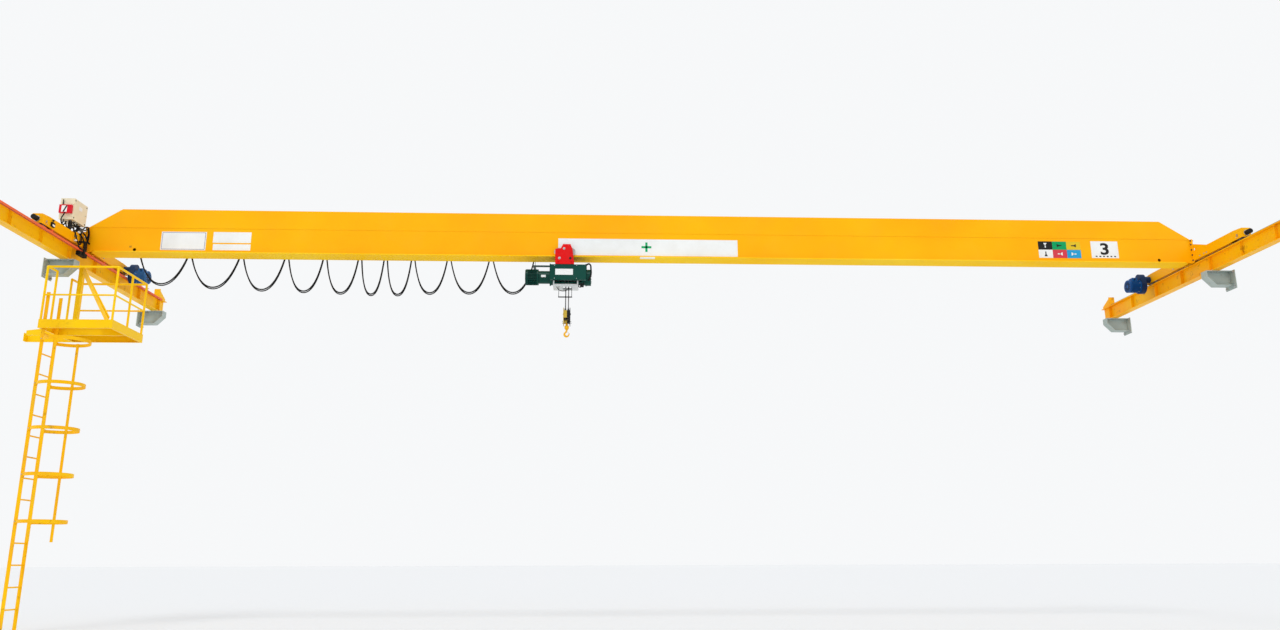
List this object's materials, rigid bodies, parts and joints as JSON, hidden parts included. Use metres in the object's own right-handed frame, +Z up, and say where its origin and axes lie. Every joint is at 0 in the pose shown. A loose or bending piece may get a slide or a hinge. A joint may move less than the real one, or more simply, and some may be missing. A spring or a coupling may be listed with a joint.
{
  "type": "overhead bridge crane",
  "caption": "Single-girder overhead bridge crane with an underslung rope hoist and hook, on bracketed runway beams with a festoon cable, service platform and caged ladder.",
  "frame": {"origin": "centre of the back face of the left runway's reference corbel, second from the far end, where it meets its column", "axes": "+X across the span to the right-hand runway, +Y along the runways away from the viewer, +Z up"},
  "size_m": [19.04, 13.32, 6.38],
  "materials": {
    "crane_yellow": "gloss",
    "runway_yellow": "gloss",
    "platform_yellow": "gloss",
    "corbel_green": "satin",
    "rail_steel": "worn",
    "conductor_red": "matte",
    "hoist_green": "gloss",
    "guide_white": "satin",
    "drive_blue": "gloss",
    "trolley_red": "gloss",
    "cabinet_cream": "satin",
    "light_red": "gloss",
    "black_plastic": "matte",
    "track_steel": "galvanised",
    "cable_black": "matte",
    "rope_steel": "greased",
    "hook_yellow": "gloss"
  },
  "bodies": {
    "runway": {"runway_beam_left": "runway_yellow", "runway_beam_right": "runway_yellow", "runway_rails": "rail_steel", "corbels_left": "corbel_green", "corbels_right": "corbel_green", "conductor_bar": "conductor_red", "platform_deck": "platform_yellow", "platform_rails": "platform_yellow", "platform_hanger": "platform_yellow", "ladder": "platform_yellow", "ladder_cage": "platform_yellow"},
    "bridge": {"girder": "crane_yellow", "girder_flange": "crane_yellow", "truck_left": "crane_yellow", "truck_right": "crane_yellow", "buffers": "cable_black", "drive_motors": "drive_blue", "drive_gearboxes": "drive_blue", "control_cabinet": "cabinet_cream", "warning_light": "light_red", "collector": "black_plastic", "bridge_cables": "cable_black", "festoon_track": "track_steel", "festoon_cable": "cable_black"},
    "door": {"cabinet_door": "cabinet_cream"},
    "wheel_left_near": {"wheel_left_near": "rail_steel"},
    "wheel_left_far": {"wheel_left_far": "rail_steel"},
    "wheel_right_near": {"wheel_right_near": "rail_steel"},
    "wheel_right_far": {"wheel_right_far": "rail_steel"},
    "trolley": {"trolley_frame": "trolley_red", "hoist_frame": "hoist_green", "hoist_motor": "hoist_green", "hoist_casing": "hoist_green", "rope_drum": "rail_steel", "rope_guide": "guide_white", "hoist_ropes": "rope_steel"},
    "trolley_wheels_left": {"trolley_wheels_left": "rail_steel"},
    "trolley_wheels_right": {"trolley_wheels_right": "rail_steel"},
    "hook_block": {"hook_block": "hook_yellow", "rope_turns": "rope_steel"},
    "sheaves": {"hook_sheaves": "rail_steel"},
    "hook": {"hook": "hook_yellow"},
    "carrier_1": {"carrier_1": "black_plastic"},
    "carrier_2": {"carrier_2": "black_plastic"},
    "carrier_3": {"carrier_3": "black_plastic"},
    "carrier_4": {"carrier_4": "black_plastic"},
    "carrier_5": {"carrier_5": "black_plastic"},
    "carrier_6": {"carrier_6": "black_plastic"},
    "carrier_7": {"carrier_7": "black_plastic"},
    "carrier_8": {"carrier_8": "black_plastic"},
    "carrier_9": {"carrier_9": "black_plastic"}
  },
  "joints": [
    {"name": "bridge_travel", "type": "slide", "parent": "runway", "child": "bridge", "axis": [0, 1, 0], "range_m": [-8.5, 1.2]},
    {"name": "trolley_travel", "type": "slide", "parent": "bridge", "child": "trolley", "axis": [1, 0, 0], "range_m": [-5.4, 7.6], "deforming": ["festoon_cable"]},
    {"name": "hook_lift", "type": "slide", "parent": "trolley", "child": "hook_block", "axis": [0, 0, 1], "range_m": [-4.2, 0.12], "deforming": ["hoist_ropes"]},
    {"name": "sheave_spin", "type": "hinge", "parent": "hook_block", "child": "sheaves", "pos_m": [7.9, 0.448, -0.527], "axis": [1, 0, 0], "range_deg": [-100, 2800]},
    {"name": "hook_swivel", "type": "hinge", "parent": "hook_block", "child": "hook", "pos_m": [7.9, 0.448, -0.697], "axis": [0, 0, 1], "continuous": true},
    {"name": "door_hinge", "type": "hinge", "parent": "bridge", "child": "door", "pos_m": [0.3385, -0.13, 0.94], "axis": [0, 0, -1], "range_deg": [0, 110]},
    {"name": "wheel_left_near_roll", "type": "hinge", "parent": "bridge", "child": "wheel_left_near", "pos_m": [0.27, -0.802, 0.4953], "axis": [1, 0, 0], "range_deg": [-990, 7000]},
    {"name": "wheel_left_far_roll", "type": "hinge", "parent": "bridge", "child": "wheel_left_far", "pos_m": [0.27, 1.698, 0.4953], "axis": [1, 0, 0], "range_deg": [-990, 7000]},
    {"name": "wheel_right_near_roll", "type": "hinge", "parent": "bridge", "child": "wheel_right_near", "pos_m": [18.27, -0.802, 0.4953], "axis": [1, 0, 0], "range_deg": [-990, 7000]},
    {"name": "wheel_right_far_roll", "type": "hinge", "parent": "bridge", "child": "wheel_right_far", "pos_m": [18.27, 1.698, 0.4953], "axis": [1, 0, 0], "range_deg": [-990, 7000]},
    {"name": "trolley_wheels_left_roll", "type": "hinge", "parent": "trolley", "child": "trolley_wheels_left", "pos_m": [7.756, 0.448, 0.4533], "axis": [0, 1, 0], "range_deg": [-5700, 8000]},
    {"name": "trolley_wheels_right_roll", "type": "hinge", "parent": "trolley", "child": "trolley_wheels_right", "pos_m": [7.962, 0.448, 0.4533], "axis": [0, 1, 0], "range_deg": [-5700, 8000]},
    {"name": "carrier_1_slide", "type": "slide", "parent": "bridge", "child": "carrier_1", "axis": [1, 0, 0], "range_m": [-0.728, 1.021]},
    {"name": "carrier_2_slide", "type": "slide", "parent": "carrier_1", "child": "carrier_2", "axis": [1, 0, 0], "range_m": [-0.739, 1.036]},
    {"name": "carrier_3_slide", "type": "slide", "parent": "carrier_2", "child": "carrier_3", "axis": [1, 0, 0], "range_m": [-0.642, 0.899]},
    {"name": "carrier_4_slide", "type": "slide", "parent": "carrier_3", "child": "carrier_4", "axis": [1, 0, 0], "range_m": [-0.528, 0.74]},
    {"name": "carrier_5_slide", "type": "slide", "parent": "carrier_4", "child": "carrier_5", "axis": [1, 0, 0], "range_m": [-0.48, 0.671]},
    {"name": "carrier_6_slide", "type": "slide", "parent": "carrier_5", "child": "carrier_6", "axis": [1, 0, 0], "range_m": [-0.329, 0.458]},
    {"name": "carrier_7_slide", "type": "slide", "parent": "carrier_6", "child": "carrier_7", "axis": [1, 0, 0], "range_m": [-0.361, 0.504]},
    {"name": "carrier_8_slide", "type": "slide", "parent": "carrier_7", "child": "carrier_8", "axis": [1, 0, 0], "range_m": [-0.501, 0.702]},
    {"name": "carrier_9_slide", "type": "slide", "parent": "carrier_8", "child": "carrier_9", "axis": [1, 0, 0], "range_m": [-0.599, 0.838]}
  ],
  "couplings": [
    {"joint": "sheave_spin", "follows": "hook_lift", "rad_per_m": -11.494},
    {"joint": "wheel_left_near_roll", "follows": "bridge_travel", "rad_per_m": -14.286},
    {"joint": "wheel_left_far_roll", "follows": "bridge_travel", "rad_per_m": -14.286},
    {"joint": "wheel_right_near_roll", "follows": "bridge_travel", "rad_per_m": -14.286},
    {"joint": "wheel_right_far_roll", "follows": "bridge_travel", "rad_per_m": -14.286},
    {"joint": "trolley_wheels_left_roll", "follows": "trolley_travel", "rad_per_m": 18.182},
    {"joint": "trolley_wheels_right_roll", "follows": "trolley_travel", "rad_per_m": 18.182},
    {"joint": "carrier_1_slide", "follows": "trolley_travel", "ratio": 0.133},
    {"joint": "carrier_2_slide", "follows": "trolley_travel", "ratio": 0.135},
    {"joint": "carrier_3_slide", "follows": "trolley_travel", "ratio": 0.117},
    {"joint": "carrier_4_slide", "follows": "trolley_travel", "ratio": 0.096},
    {"joint": "carrier_5_slide", "follows": "trolley_travel", "ratio": 0.087},
    {"joint": "carrier_6_slide", "follows": "trolley_travel", "ratio": 0.059},
    {"joint": "carrier_7_slide", "follows": "trolley_travel", "ratio": 0.065},
    {"joint": "carrier_8_slide", "follows": "trolley_travel", "ratio": 0.091},
    {"joint": "carrier_9_slide", "follows": "trolley_travel", "ratio": 0.109}
  ]
}
